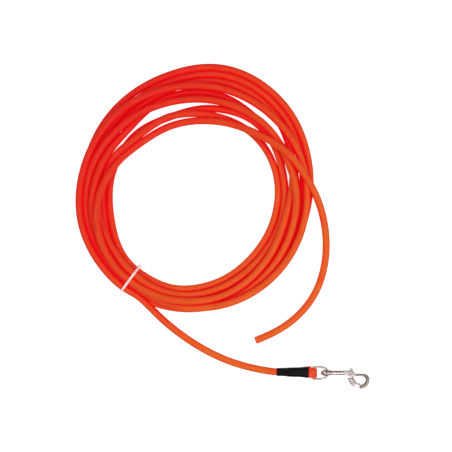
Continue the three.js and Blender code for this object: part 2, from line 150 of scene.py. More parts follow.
# Each row: X, the middle's Z, half the width, half the height, and how much of that is straight.
SLEEVE_ROWS = [
    (-38.6, 3.35, 3.3, 3.3, 0), (-35.4, 3.37, 3.38, 3.38, 0), (-32.4, 3.45, 3.45, 3.42, 0.05),
    (-30.9, 4.1, 3.5, 4.1, 0.9), (-29.2, 5.1, 3.68, 5.1, 2.3), (-25, 5.25, 3.8, 5.2, 2.6),
    (-20, 5.3, 3.9, 5.3, 2.6), (-15.5, 5.33, 4.35, 5.33, 2.6), (-12.5, 5.35, 4.75, 5.35, 2.6),
]
SLEEVE_SIDES = 72
SLEEVE_SQUARENESS = 0.88
CRUMPLE = 0.07  # mm, of the sleeve where it has shrunk round the step
CRUMPLE_X = -30.8
CRUMPLE_REACH = 1.6
# How far the cut at the sleeve's first and last ring waves along X.
SLEEVE_END_WAVES = ((0, 0.12), (-1, 0.2))
# The cord in the sleeve. Each row: X, the middle's Z, half the width and half the height.
LOWER_LEG = [
    (-38.1, 3.35, 2.75, 2.75), (-32.5, 3.4, 2.8, 2.75), (-29, 2.95, 3.05, 2.25),
    (-20, 2.9, 3.1, 2.2), (-14.5, 2.75, 3.7, 1.95), (-12, 2.5, 4.6, 1.6), (-10.6, 2.4, 4.7, 1.4),
]
UPPER_LEG = [
    (-10.6, 7.6, 4.7, 1.4), (-12, 7.7, 4.6, 1.6), (-14.5, 7.75, 3.7, 1.95), (-20, 7.75, 3.1, 2.2),
    (-28, 7.7, 3.05, 2.2),
]
FOLD_RADIUS = 2.35
FOLD_HALF_WIDTH = 3.95  # clear of the eye's wires as they swing up and down
FOLD_HALF_THICKNESS = 1.3
FOLD_SQUARENESS = 0.45
FOLD_RINGS = 13

# The snap, in its own frame: its origin is the middle of the eye's bar and +X runs along the
# shank, tilted down by the drop that brings the hook to the surface.
BAR = np.array((-8.8, 3.6, 5.0))
SNAP_DROP = math.asin((5.0 - 1.6 - 0.05) / 46)
EYE_WIRE_RADIUS = 0.85
EYE_PATH = [
    (0, 0), (0, 3.4), (0.35, 4.5), (1.4, 5), (4, 5), (7, 4.9), (9.6, 4.35), (11.3, 3.4), (12.3, 2.4),
]
# Each row of these three: X and radius. The collar's rows close on themselves.
COLLAR = [(11.7, 1.4), (11.7, 2.3), (11.9, 2.5), (13.1, 2.5), (13.3, 2.3), (13.3, 1.4)]
SPRING_BORE = [(18.4, 0.02), (18.4, 1.05), (29.5, 1.05), (29.5, 0.02)]
STUD_AND_SHANK = [
    (6.7, 0.02), (6.72, 0.5), (6.9, 0.95), (7.5, 1.5), (8.2, 1.95), (8.9, 2.3), (9.6, 2.52), (10.4, 2.62),
    (10.9, 2.58), (11.25, 2.42), (11.35, 2.2), (11.35, 1.15), (13.65, 1.15), (13.65, 2.1), (13.8, 2.25),
    (14.9, 2.25), (15.1, 2.12), (15.6, 1.88), (16.2, 1.85), (28.8, 1.85), (29, 1.75), (29, 0.02),
]
CHEEK_OUTLINE = [
    (26, 1.6), (29, 1.75), (32.2, 1.75), (33.4, 1.2), (34.2, 0.4), (35.7, -0.9), (36, -1.9),
    (35.3, -2.55), (33.7, -2.8), (31.5, -2.9), (28, -2.3), (26, -1.6),
]
CHEEK_THICKNESS = 4.0
CHEEK_EDGE = 0.4
SLOT = ((28.5, -6, -0.95), (34.9, 6, 0.95))
# Each row: X, Y, half the width in the hook's plane and half the thickness.
HOOK_ROWS = [
    (34.4, -1.8, 0.9, 1.45), (38, -1.85, 1.05, 1.5), (41.5, -1.95, 1.1, 1.5), (43.9, -2.6, 1.35, 1.55),
    (45.4, -4.1, 1.5, 1.6), (45.75, -6, 1.6, 1.6), (45.1, -8.5, 1.65, 1.6), (43.3, -10.7, 1.7, 1.6),
    (41, -11.6, 1.6, 1.5), (39.6, -11.8, 1.4, 1.35), (39.1, -11.82, 1.1, 1.1), (38.9, -11.83, 0.5, 0.5),
]
HOOK_SEAT = ((40.35, -7.2, -4), (44.35, -4.4, 4))
PIVOT = (32.8, -0.75)
GATE_THICKNESS = 1.4
GATE_EDGE = 0.2
GATE_OUTLINE = [
    (31.3, 1.2), (31.9, 2.35), (30.9, 2.45), (30.6, 3.1), (31.1, 3.65), (33, 3.7), (33.7, 3), (33.7, 1.4),
    (34.4, 0.2), (34.4, -1.5), (34.1, -3.6), (34.9, -5.7), (36.2, -7.6), (37.8, -8.75), (39.6, -8.95),
    (39.7, -10.1), (38, -10.15), (35.6, -9), (33.8, -7.2), (32.7, -5), (32.4, -3), (31.3, -1.9),
]
LOBE_OUTLINE = [
    (29.4, -4.9), (29.7, -4.4), (31.9, -4.3), (33.9, -5.6), (35.2, -7.8), (35.5, -10.2), (34.9, -11.6),
    (34.3, -11.6), (32.5, -10.2), (30.5, -7.8),
]
LOBE_THICKNESS = 2.8
LOBE_EDGE = 0.7
PIN_HOLE_RADIUS = 0.75
PIN_HOLE_REACH = 4
# Each row: height along the pin and radius.
PIN_ROWS = [
    (-2.45, 0.02), (-2.45, 0.6), (-2.36, 0.85), (-2.1, 1.1), (-2.1, 0.6), (2.1, 0.6), (2.1, 1.1),
    (2.36, 0.85), (2.45, 0.6), (2.45, 0.02),
]
SPRING_Y = 0.35
SPRING_RADIUS = 0.75
SPRING_WIRE = 0.16
SPRING_SPAN = (18.66, 30.84)
SPRING_TURNS = 10
SPRING_STEPS = 20  # in each turn
SPRING_SIDES = 8
METAL_VOXEL = 0.12
METAL_SMOOTHING = 4
OUTLINE_STEP = 0.25  # mm between the points of a plate's outline
EYE_STEP = 0.3
SLEEVE_STEP = 0.3
LOFT_STEP = 0.35  # mm between the rings of the hook and of the end loop
EYE_SIDES = 20
HOOK_SIDES = 28
PIN_SIDES = 32
BORE_SIDES = 24

# Degrees between two faces, above which the edge between them looks hard.
HARD_EDGE_CORD = 50
HARD_EDGE_LOOP = 60
HARD_EDGE_SLEEVE = 50
HARD_EDGE_METAL = 40

AXIS_Y = np.array((0.0, 1.0, 0.0))
AXIS_Z = np.array((0.0, 0.0, 1.0))

# ---- colours ----

# The coat's colour on the coil's shaded far side and on its lit near side: painted light.
ORANGE_RED = (0.93, 0.02, 0.013, 1)
ORANGE = (0.96, 0.215, 0.022, 1)
ORANGE_DEEP = (0.85, 0.03, 0.012, 1)
CRIMSON = (0.82, 0.001, 0.016, 1)  # painted shade between strands: the deep red of light bounced from coat to coat, where little light reaches
ORANGE_PALE = (0.95, 0.16, 0.04, 1)
PAINTED_RED_GLOW = 0.15  # painted glow that lifts the coat's shadows with red, standing in for its fluorescent pigment
FLOOR_GLOW = 0.9
PAINTED_LIGHT_SPAN = (-0.38, -0.1)  # metres of X - Y, from the coil's far side to the near one: painted light, redder where shaded and warmer where lit
LOOP_PAINTED_LIGHT_SPAN = (-0.06, 0.06)
SHELTER_REACH = 0.015  # metres from a strand to the neighbours that shade it crimson
SHELTERED_TO_OPEN = (0.44, 0.94)  # the share of open surroundings, from crimson to orange
NICKEL = ((0.86, 0.79, 0.77, 1), (0.5, 0.43, 0.4, 1), (0.08, 0.04, 0.03, 1))  # bright, dull, and the brown of the painted shade in corners
NICKEL_ROUGHNESS = (0.08, 0.2)
STEEL = ((0.52, 0.5, 0.48, 1), (0.4, 0.37, 0.35, 1), (0.1, 0.06, 0.05, 1))
STEEL_ROUGHNESS = (0.2, 0.35)
CORNER_REACH = 0.0012  # metres from a corner of the metal to the end of its painted shade
CORNER_TO_OPEN = (0.35, 0.85)
HOOK_COLOUR = (0.21, 0.17, 0.15, 1)
DULL_FROM_TO = (0.019, 0.034)  # metres along X, from the shank to the hook
WALL_COLOUR = (0.05, 0.03, 0.022, 1)
CEILING_COLOUR = (0.8, 0.76, 0.77, 1)
WALL_TO_CEILING = (0.45, 0.95)  # height of the view direction, from 0 at the horizon to 1 above
KEY_POWER = 13.5
FILL_POWER = 5

# ---- the stage ----

FLOOR_HALF = 30000  # mm
LENS = 150
SENSOR = 36
VIEW_CENTRE = (-80.55, 125.2)  # mm
VIEW_WIDTH = 375.2
# The next four are in metres.
KEY_PLACE = (0.9, -0.8, 1.4)
FILL_PLACE = (-1.0, 1.1, 1.2)
LIGHT_TARGET = (-0.08, 0.12, 0)
LIGHT_SIZE = 1.8


def curve_piece(p0, p1, p2, p3, count):
    """Points on a smooth curve that starts at p1 and stops short of p2, with p0 and p3 beyond."""
    t1 = math.sqrt(np.linalg.norm(p1 - p0))
    t2 = t1 + math.sqrt(np.linalg.norm(p2 - p1))
    t3 = t2 + math.sqrt(np.linalg.norm(p3 - p2))
    t = np.linspace(t1, t2, count, endpoint=False)[:, None]
    a1 = ((t1 - t) * p0 + t * p1) / t1
    a2 = ((t2 - t) * p1 + (t - t1) * p2) / (t2 - t1)
    a3 = ((t3 - t) * p2 + (t - t2) * p3) / (t3 - t2)
    b1 = ((t2 - t) * a1 + t * a2) / t2
    b2 = ((t3 - t) * a2 + (t - t1) * a3) / (t3 - t1)
    return ((t2 - t) * b1 + (t - t1) * b2) / (t2 - t1)


def catmull_rom(points, step, closed=False):
    """A smooth curve through the points, as points about this far apart."""
    points = np.array(points, float)
    if closed:
        padded = np.vstack([points[-1], points, points[:2]])
    else:
        padded = np.vstack([2 * points[0] - points[1], points, 2 * points[-1] - points[-2]])
    pieces = []
    for i in range(1, len(padded) - 2):
        count = max(1, int(round(np.linalg.norm(padded[i + 1] - padded[i]) / step)))
        pieces.append(curve_piece(*padded[i - 1:i + 3], count))
    if not closed:
        pieces.append(points[-1:])
    return np.vstack(pieces)


def even_steps(points, step):
    """The same line with its points this far apart."""
    distance = np.concatenate([[0.0], np.cumsum(np.linalg.norm(np.diff(points, axis=0), axis=1))])
    count = int(round(distance[-1] / step))
    wanted = np.linspace(0.0, distance[-1], count + 1)
    return np.column_stack([np.interp(wanted, distance, column) for column in points.T])


def polar(point):
    """A point's angle in degrees, radius from the coil's centre, and height."""
    x, y, z = point
    across = (x - COIL_CENTRE[0], y - COIL_CENTRE[1])
    return math.degrees(math.atan2(across[1], across[0])), math.hypot(*across), z


def wound_goal():
    """For each point of the winding: its angle, and the radius and height that it is laid at."""
    step = 360 / SLICES
    total = (len(TURNS) - 1) * 360 + COIL_START_ANGLE - COIL_END_ANGLE
    travelled = np.arange(0, total + step / 2, step)
    start = polar(SNAP_STRETCH[0])
    end = polar(FREE_STRETCH[0])
    knots = [(0.0, start[1], start[2])]
    for turn, (radii, layers) in enumerate(TURNS):
        for angle, radius, layer in zip(STATION_ANGLES, radii, layers):
            height = CORD_RADIUS + LAYER_STEP * int(layer)
            knots.append((360 * turn + COIL_START_ANGLE - angle, radius, height))
    knots.append((float(total), end[1], end[2]))
    knots = np.array(knots)
    curve = catmull_rom(knots, step / 2)
    radius = np.interp(travelled, curve[:, 0], curve[:, 1])
    height = np.interp(travelled, curve[:, 0], curve[:, 2])
    return COIL_START_ANGLE - travelled, radius, height


def smoothed(values):
    """One smoothing pass along the cord. Its two ends stay."""
    result = values.copy()
    result[1:-1] = (values[:-2] + 2 * values[1:-1] + values[2:]) / 4
    return result


def by_turn(values, filler):
    """The winding's values as one row a turn and one column a slice."""
    table = np.full(len(TURNS) * SLICES, filler)
    table[:len(values)] = values
    return table.reshape(len(TURNS), SLICES)


def separated(radius, height, share):
    """Moves strands that lie in each other apart, slice by slice."""
    r = by_turn(radius, NOWHERE)
    z = by_turn(height, 0.0)
    for low in range(len(TURNS)):
        for high in range(low + 1, len(TURNS)):
            dr = r[high] - r[low]
            dz = z[high] - z[low]
            distance = np.maximum(np.hypot(dr, dz), LEAST_DISTANCE)
            push = np.maximum(PRESSED - distance, 0.0) * share / 2 / distance
            r[high] += dr * push
            r[low] -= dr * push
            z[high] += dz * push
            z[low] -= dz * push
    return r.ravel()[:len(radius)], z.ravel()[:len(height)]


def held(angles, radius, height):
    """Keeps the strands above the surface, and inside the tie where it goes round them."""
    off_tie = np.abs((angles - TIE_ANGLE + 180) % 360 - 180)
    slack = FUNNEL * np.maximum(off_tie - TIE_HALF_ANGLE, 0.0) ** 2
    lowest = np.maximum(CORD_RADIUS + CLEARANCE, CORD_RADIUS + TIE_THICKNESS - slack)
    height = np.clip(height, lowest, TIE_TOP - CORD_RADIUS + slack)
    radius = np.clip(radius, TIE_INSIDE[0] + CORD_RADIUS - slack, TIE_INSIDE[1] - CORD_RADIUS + slack)
    return radius, height


def settled_winding():
    """The coil's points, after the turns have been laid, pressed together and let down."""
    angles, goal, height = wound_goal()
    radius = goal.copy()
    aim = goal.copy()
    ends = (radius[[0, -1]].copy(), height[[0, -1]].copy())
    for step in range(SETTLE_STEPS + LAST_STEPS):
        if step < SETTLE_STEPS:
            aim = np.clip(aim + TIGHTEN * (goal - radius), goal - MOST_AIM, goal + MOST_AIM)
            radius += PULL * (aim - radius)
            height = height - FALL
            for _ in range(STIFFENING):
                radius = goal + smoothed(radius - goal)
                height = smoothed(height)
        else:
            radius = goal + smoothed(radius - goal)
            height = smoothed(height)
        for _ in range(PARTINGS):
            radius, height = separated(radius, height, PARTING_SHARE)
            radius, height = held(angles, radius, height)
        radius[[0, -1]] = ends[0]
        height[[0, -1]] = ends[1]
    radians = np.radians(angles)
    x = COIL_CENTRE[0] + radius * np.cos(radians)
    y = COIL_CENTRE[1] + radius * np.sin(radians)
    return np.column_stack([x, y, height])


def cord_route(winding):
    """The whole centreline in millimetres, from the sleeve's mouth to the cut end."""
    first = [SLEEVE_MOUTH] + SNAP_STRETCH[-2:0:-1]
    points = np.vstack([first, winding, FREE_STRETCH[1:]])
    route = even_steps(catmull_rom(points, RING_STEP / 2), RING_STEP)
    for _ in range(LAST_SMOOTHING):
        route = smoothed(route)
    return route


def new_object(name, vertices, faces, sharp_above=None):
    """A smooth object from vertices in millimetres, with hard edges above this many degrees."""
    mesh = bpy.data.meshes.new(name)
    mesh.from_pydata(np.array(vertices) * MM, [], faces)
    mesh.polygons.foreach_set("use_smooth", [True] * len(mesh.polygons))
    if sharp_above:
        mesh.set_sharp_from_angle(angle=math.radians(sharp_above))
    mesh.update()
    obj = bpy.data.objects.new(name, mesh)
    bpy.context.scene.collection.objects.link(obj)
    return obj


def skin_faces(rows, count, closed=False):
    """Faces over rows of points. A closed skin goes round from its last row to its first."""
    faces = []
    for row in range(rows if closed else rows - 1):
        here = row * count
        there = (row + 1) % rows * count
        for i in range(count):
            j = (i + 1) % count
            faces.append((here + i, there + i, there + j, here + j))
    if not closed:
        last = (rows - 1) * count
        faces.append(tuple(range(count)))
        faces.append(tuple(last + i for i in reversed(range(count))))
    return faces


def lofted(sections, closed=False):
    """Vertices and faces of a skin over rings of points."""
    sections = np.array(sections, float)
    rows, count = sections.shape[:2]
    return sections.reshape(-1, 3), skin_faces(rows, count, closed)


def finer(sections, step):
    """More rings, on smooth curves through the matching points of the given ones."""
    sections = np.array(sections, float)
    rows, count = sections.shape[:2]
    flat = catmull_rom(sections.reshape(rows, -1), step * math.sqrt(count))
    return flat.reshape(-1, count, 3)


def tube_mesh(points, radii, sides):
    """Vertices and faces of a tube round the points, closed at both ends."""
    points = np.array(points, float)
    tangents = np.gradient(points, axis=0)
    tangents /= np.linalg.norm(tangents, axis=1)[:, None]
    side = np.cross(tangents, AXIS_Z)
    side /= np.linalg.norm(side, axis=1)[:, None]
    up = np.cross(side, tangents)
    angles = np.arange(sides) / sides * 2 * math.pi
    rings = (points[:, None, :]
             + np.array(radii)[:, None, None]
             * (side[:, None, :] * np.cos(angles)[None, :, None]
                + up[:, None, :] * np.sin(angles)[None, :, None]))
    return lofted(rings)


def oval(middle, across, up, half_width, half_height, count=48, straight=0.0, squareness=0.84):
    """A closed ring between an ellipse and a rounded rectangle, with straight sides if asked."""
    angles = np.arange(count) / count * 2 * math.pi
    side = np.sign(np.cos(angles)) * np.abs(np.cos(angles)) ** squareness
    rise = np.sign(np.sin(angles)) * np.abs(np.sin(angles)) ** squareness
    height = (half_height - straight) * rise + straight * np.clip(rise * 4, -1, 1)
    return np.array(middle) + np.outer(half_width * side, across) + np.outer(height, up)


def turned(rows, segments=40, closed=False):
    """A solid of revolution round the X axis, from rows of X and radius."""
    angles = np.arange(segments) / segments * 2 * math.pi
    circle = np.column_stack([np.zeros(segments), np.cos(angles), np.sin(angles)])
    return lofted([np.array((x, 0, 0)) + circle * radius for x, radius in rows], closed)


def plate(outline, thickness, edge):
    """A plate in the XY plane, centred on Z = 0, with a smooth outline and rounded edges."""
    outline = catmull_rom(outline, OUTLINE_STEP, closed=True)
    x, y = outline.T
    ahead = np.roll(outline, -1, axis=0) - np.roll(outline, 1, axis=0)
    inward = np.column_stack([-ahead[:, 1], ahead[:, 0]])
    inward /= np.linalg.norm(inward, axis=1)[:, None]
    inward *= np.sign(np.sum(x * np.roll(y, -1) - y * np.roll(x, -1)))
    turn = np.linspace(0, math.pi / 2, 4)
    upper = [(thickness / 2 - edge * (1 - math.sin(t)), edge * (1 - math.cos(t))) for t in turn]
    levels = [(-z, inset) for z, inset in reversed(upper)] + upper
    return lofted([np.column_stack([outline + inward * inset, np.full(len(outline), z)])
                   for z, inset in levels])


def block(corners):
    """A box between two corners, as vertices and faces."""
    (x0, y0, z0), (x1, y1, z1) = corners
    rings = [[(x, y0, z0), (x, y1, z0), (x, y1, z1), (x, y0, z1)] for x in (x0, x1)]
    return lofted(rings)


def moved(shell, offset):
    """The same shell, moved."""
    return shell[0] + np.array(offset, float), shell[1]


def upright(shell):
    """A shell made round the X axis, turned to stand round the Z axis."""
    vertices, faces = shell
    return np.column_stack([-vertices[:, 2], vertices[:, 1], vertices[:, 0]]), faces


def merged(shells):
    """Several shells as one list of vertices and one of faces."""
    vertices = []
    faces = []
    start = 0
    for points, skin in shells:
        vertices.append(points)
        faces += [tuple(start + i for i in face) for face in skin]
        start += len(points)
    return np.vstack(vertices), faces


def working_object(shell):
    """A helper object in millimetres, with its faces turned outwards."""
    mesh = bpy.data.meshes.new("working")
    mesh.from_pydata(shell[0], [], shell[1])
    shape = bmesh.new()
    shape.from_mesh(mesh)
    bmesh.ops.recalc_face_normals(shape, faces=shape.faces)
    shape.to_mesh(mesh)
    shape.free()
    obj = bpy.data.objects.new("working", mesh)
    bpy.context.scene.collection.objects.link(obj)
    return obj


def evaluated(obj):
    """The vertices and faces that an object has after its modifiers."""
    graph = bpy.context.evaluated_depsgraph_get()
    mesh = bpy.data.meshes.new_from_object(obj.evaluated_get(graph))
    vertices = np.empty(len(mesh.vertices) * 3)
    mesh.vertices.foreach_get("co", vertices)
    faces = [tuple(polygon.vertices) for polygon in mesh.polygons]
    bpy.data.meshes.remove(mesh)
    return vertices.reshape(-1, 3), faces


def cast(shells, cutters=(), voxel=METAL_VOXEL, smoothing=METAL_SMOOTHING):
    """One closed skin over shells that overlap, with soft fillets, then cut by the cutters."""
    whole = working_object(merged(shells))
    remesh = whole.modifiers.new("remesh", "REMESH")
    remesh.mode = "VOXEL"
    remesh.voxel_size = voxel
    smooth = whole.modifiers.new("smooth", "SMOOTH")
    smooth.factor = 0.5
    smooth.iterations = smoothing
    helpers = [whole]
    for shell in cutters:
        cutter = working_object(shell)
        helpers.append(cutter)
        boolean = whole.modifiers.new("cut", "BOOLEAN")
        boolean.operation = "DIFFERENCE"
        boolean.solver = "EXACT"
        boolean.object = cutter
    result = evaluated(whole)
    for helper in helpers:
        bpy.data.objects.remove(helper)
    return result


def on_snap(shell):
    """A shell in the snap's own frame, moved to where the snap lies."""
    vertices, faces = shell
    cosine = math.cos(SNAP_DROP)
    sine = math.sin(SNAP_DROP)
    x = vertices[:, 0] * cosine + vertices[:, 2] * sine
    z = -vertices[:, 0] * sine + vertices[:, 2] * cosine
    return np.column_stack([x, vertices[:, 1], z]) + BAR, faces


def add_node(material, kind, inputs=None, **settings):
    """A new node. An input is a number, a colour or another node's output."""
    tree = material.node_tree
    node = tree.nodes.new(kind)
    for name, value in settings.items():
        setattr(node, name, value)
    for socket, value in (inputs or {}).items():
        if isinstance(value, bpy.types.NodeSocket):
            tree.links.new(value, node.inputs[socket])
        else:
            node.inputs[socket].default_value = value
    return node


def place_in(material):
    """The place on the piece, in metres."""
    return add_node(material, "ShaderNodeTexCoord").outputs["Object"]


def noise(material, place, scale, detail=3.0, roughness=0.55):
    """Soft random patches from 0 to 1, about 1 / scale metres across."""
    inputs = {"Vector": place, "Scale": scale, "Detail": detail, "Roughness": roughness}
    return add_node(material, "ShaderNodeTexNoise", inputs).outputs["Fac"]


def stretched(material, place, factors):
    """The place, stretched along its axes."""
    inputs = {0: place, 1: factors}
    return add_node(material, "ShaderNodeVectorMath", inputs, operation="MULTIPLY").outputs[0]


def from_to(material, value, old, new):
    """The value carried over from one range to another, and kept within it."""
    inputs = {"Value": value, 1: old[0], 2: old[1], 3: new[0], 4: new[1]}
    return add_node(material, "ShaderNodeMapRange", inputs).outputs[0]


def mixed(material, factor, first, second):
    """A colour between two others."""
    node = add_node(material, "ShaderNodeMix", data_type="RGBA")
    for socket, value in ((0, factor), (6, first), (7, second)):
        if isinstance(value, bpy.types.NodeSocket):
            material.node_tree.links.new(value, node.inputs[socket])
        else:
            node.inputs[socket].default_value = value
    return node.outputs[2]


def bump(material, height, depth, before=None):
    """Small relief, this many metres deep."""
    inputs = {"Height": height, "Strength": 1.0, "Distance": depth}
    if before:
        inputs["Normal"] = before
    return add_node(material, "ShaderNodeBump", inputs).outputs[0]


def finish_material(material, values, **links):
    """Sets numbers on the surface shader's own sockets, and joins nodes to others."""
    shader = material.node_tree.nodes["Principled BSDF"]
    for socket, value in values.items():
        shader.inputs[socket].default_value = value
    for socket, output in links.items():
        material.node_tree.links.new(output, shader.inputs[socket.replace("_", " ")])
    return material


def new_material(name):
    """A material with the usual surface shader and nothing joined to it yet."""
    material = bpy.data.materials.new(name)
    material.use_nodes = True
    return material


def orange_coat(name="orange_coat", painted_light_span=PAINTED_LIGHT_SPAN):
    """Neon orange plastic coating: satin, a little translucent, with drawing lines along it, and with
    painted light, painted crimson shade between strands and a painted red glow.
    """
    material = new_material(name)
    place = place_in(material)
    lay = add_node(material, "ShaderNodeAttribute", attribute_name="lay").outputs["Vector"]
    apart = add_node(material, "ShaderNodeSeparateXYZ", {0: place})
    across = add_node(material, "ShaderNodeMath", {0: apart.outputs[0], 1: apart.outputs[1]},
                      operation="SUBTRACT").outputs[0]
    # Painted light: the coat turns from its shaded red to its lit orange across the coil.
    painted_lit_side = from_to(material, across, painted_light_span, (0.0, 1.0))
    streaks = noise(material, stretched(material, lay, (1, 1, 0.04)), 2600, 2.0)
    patches = noise(material, place, 60, 4.0)
    grain = noise(material, place, 2400, 3.0)
    specks = noise(material, place, 900, 5.0, 0.7)
    hue = mixed(material, painted_lit_side, ORANGE_RED, ORANGE)
    hue = mixed(material, from_to(material, patches, (0.35, 0.7), (0.0, 0.35)), hue, ORANGE_DEEP)
    hue = mixed(material, from_to(material, streaks, (0.4, 0.75), (0.0, 0.3)), hue, ORANGE_PALE)
    hue = mixed(material, from_to(material, specks, (0.68, 0.76), (0.0, 0.5)), hue, ORANGE_DEEP)
    # Painted shade: the coat turns crimson where its neighbours crowd round it.
    shade_occlusion = add_node(material, "ShaderNodeAmbientOcclusion", {"Distance": SHELTER_REACH}, samples=6)
    in_light = from_to(material, shade_occlusion.outputs["AO"], SHELTERED_TO_OPEN, (0.0, 1.0))
    hue = mixed(material, in_light, CRIMSON, hue)
    sheen = from_to(material, patches, (0.3, 0.7), (0.32, 0.5))
    relief = bump(material, streaks, 0.00006)
    relief = bump(material, grain, 0.00003, relief)
    values = {"Subsurface Weight": 0.4, "Subsurface Scale": 0.002, "Specular IOR Level": 0.15,
              "Subsurface Radius": (1.0, 0.06, 0.03), "IOR": 1.5,
              "Emission Color": (1.0, 0.01, 0.01, 1), "Emission Strength": PAINTED_RED_GLOW}
    return finish_material(material, values, Base_Color=hue, Roughness=sheen, Normal=relief)


def fibre_core():
    """The cut ends of the textile core's yarns."""
    material = new_material("fibre_core")
    place = place_in(material)
    yarns = add_node(material, "ShaderNodeTexVoronoi", {"Vector": place, "Scale": 1500.0}).outputs[0]
    hairs = noise(material, place, 9000, 4.0)
    hue = mixed(material, yarns, (0.82, 0.62, 0.5, 1), (0.62, 0.2, 0.08, 1))
    hue = mixed(material, from_to(material, hairs, (0.4, 0.6), (0.0, 0.5)), hue, (0.9, 0.82, 0.74, 1))
    relief = bump(material, yarns, 0.0002, bump(material, hairs, 0.0001))
    return finish_material(material, {"Roughness": 0.9}, Base_Color=hue, Normal=relief)


def black_shrink():
    """Black heat-shrink tube: satin, with fine creases along it and rubbed high places."""
    material = new_material("black_shrink")
    place = place_in(material)
    creases = noise(material, stretched(material, place, (0.12, 1, 1)), 900, 4.0)
    grain = noise(material, place, 3500, 3.0)
    rubbed = noise(material, place, 160, 5.0, 0.65)
    hue = mixed(material, from_to(material, rubbed, (0.45, 0.7), (0.0, 1.0)),
                (0.004, 0.003, 0.005, 1), (0.011, 0.009, 0.012, 1))
    sheen = from_to(material, rubbed, (0.3, 0.7), (0.26, 0.42))
    relief = bump(material, grain, 0.00002, bump(material, creases, 0.00012))
    return finish_material(material, {"IOR": 1.5, "Specular IOR Level": 0.13},
                           Base_Color=hue, Roughness=sheen, Normal=relief)


def metal(name, colours, roughness):
    """Plated metal: brushed along X, mottled, duller on the hook, with painted dark brown shade in its
    corners.
    """
    bright, dull, painted_shade_brown = colours
    material = new_material(name)
    place = place_in(material)
    mottle = noise(material, place, 500, 5.0, 0.65)
    brushed = noise(material, stretched(material, place, (0.06, 1, 1)), 7000, 3.0)
    pits = noise(material, place, 2600, 4.0)
    shade_occlusion = add_node(material, "ShaderNodeAmbientOcclusion", {"Distance": CORNER_REACH}, samples=8)
    along = add_node(material, "ShaderNodeSeparateXYZ", {0: place}).outputs[0]
    hue = mixed(material, from_to(material, mottle, (0.35, 0.65), (0.0, 1.0)), bright, dull)
    hue = mixed(material, from_to(material, along, DULL_FROM_TO, (0.0, 0.75)), hue, HOOK_COLOUR)
    # Painted shade: dark brown in the metal's corners and recesses.
    corner_shade_mask = from_to(material, shade_occlusion.outputs["AO"], CORNER_TO_OPEN, (0.9, 0.0))
    hue = mixed(material, corner_shade_mask, hue, painted_shade_brown)
    sheen = from_to(material, brushed, (0.3, 0.7), roughness)
    relief = bump(material, pits, 0.00003, bump(material, brushed, 0.000012))
    return finish_material(material, {"Metallic": 1.0}, Base_Color=hue, Roughness=sheen, Normal=relief)


def clear_nylon():
    """Natural nylon: milky and half clear, with faint cross ribs and a faint painted pink glow."""
    material = new_material("clear_nylon")
    place = place_in(material)
    clouds = noise(material, place, 700, 4.0)
    ribs = add_node(material, "ShaderNodeTexWave", {"Vector": place, "Scale": 320.0, "Distortion": 0.6},
                    bands_direction="Z").outputs["Fac"]
    hue = mixed(material, clouds, (0.96, 0.93, 0.91, 1), (1.0, 0.98, 0.97, 1))
    sheen = from_to(material, clouds, (0.3, 0.7), (0.25, 0.45))
    relief = bump(material, ribs, 0.00008, bump(material, clouds, 0.00005))
    # Painted glow: a faint pinkish emission that brightens the tie.
    values = {"Transmission Weight": 0.2, "IOR": 1.53, "Subsurface Weight": 0.3,
              "Subsurface Radius": (1.0, 0.8, 0.7), "Subsurface Scale": 0.001,
              "Emission Color": (1.0, 0.72, 0.68, 1), "Emission Strength": 0.18}
    return finish_material(material, values, Base_Color=hue, Roughness=sheen, Normal=relief)


def pale_floor():
    """A white sheet that is lit from below, seen directly but not in the metal."""
    material = new_material("pale_floor")
    clouds = noise(material, place_in(material), 6, 3.0)
    hue = mixed(material, clouds, (0.8, 0.8, 0.8, 1), (0.83, 0.83, 0.83, 1))
    direct = add_node(material, "ShaderNodeLightPath").outputs["Is Camera Ray"]
    glow = from_to(material, direct, (0.0, 1.0), (0.0, FLOOR_GLOW))
    values = {"Roughness": 0.9, "Specular IOR Level": 0.1, "Emission Color": (1, 1, 1, 1)}
    return finish_material(material, values, Base_Color=hue, Emission_Strength=glow)


def piece(name, shell, body, material, replaced, sharp_above=None):
    """A visible piece with its body, its finish and the part's nodes that it stands for."""
    obj = new_object(name, *shell, sharp_above)
    obj.data.materials.append(material)
    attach(obj, body)
    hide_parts(*replaced)
    return obj


def lay_attribute(obj, vertices):
    """Says for each point where it would be if the cord lay straight, in metres."""
    attribute = obj.data.attributes.new("lay", "FLOAT_VECTOR", "POINT")
    attribute.data.foreach_set("vector", (np.array(vertices) * MM).ravel())


def cut_end(rings, tangent):
    """More rings after the last one: the coating's edge, then the core's frayed face."""
    end = rings[-1].mean(axis=0)
    spokes = (rings[-1] - end) / CORD_RADIUS
    return [end + tangent * forward + spokes * radius for forward, radius in CUT_END_ROWS]


def make_cord(winding):
    """The whole leash cord as one tube, with its cut end."""
    route = cord_route(winding)
    radii = np.full(len(route), CORD_RADIUS)
    radii[0] = CORD_RADIUS - MOUTH_INSET
    vertices, _ = tube_mesh(route, radii, RING_SIDES)
    rings = list(vertices.reshape(-1, RING_SIDES, 3))
    tangent = (route[-1] - route[-2]) / RING_STEP
    rings += cut_end(rings, tangent)
    vertices, faces = lofted(rings)
    cord = new_object("leash_cord", vertices, faces, HARD_EDGE_CORD)
    cord.data.materials.append(orange_coat())
    cord.data.materials.append(fibre_core())
    first_core_face = (len(rings) - CORE_RINGS) * RING_SIDES
    cap_in_sleeve = len(cord.data.polygons) - 2
    for polygon in cord.data.polygons:
        if polygon.index >= first_core_face and polygon.index != cap_in_sleeve:
            polygon.material_index = 1
    angles = np.arange(RING_SIDES) / RING_SIDES * 2 * math.pi
    circle = np.column_stack([np.cos(angles), np.sin(angles)]) * CORD_RADIUS
    straight = [np.column_stack([circle, np.full(RING_SIDES, i * RING_STEP)]) for i in range(len(rings))]
    lay_attribute(cord, np.vstack(straight))
    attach(cord, "root")
    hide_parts("cord_coil", "cord_snap_stretch", "cord_free_stretch")
    length = np.linalg.norm(np.diff(route, axis=0), axis=1).sum() * MM
    return cord, route, round(length, 2)


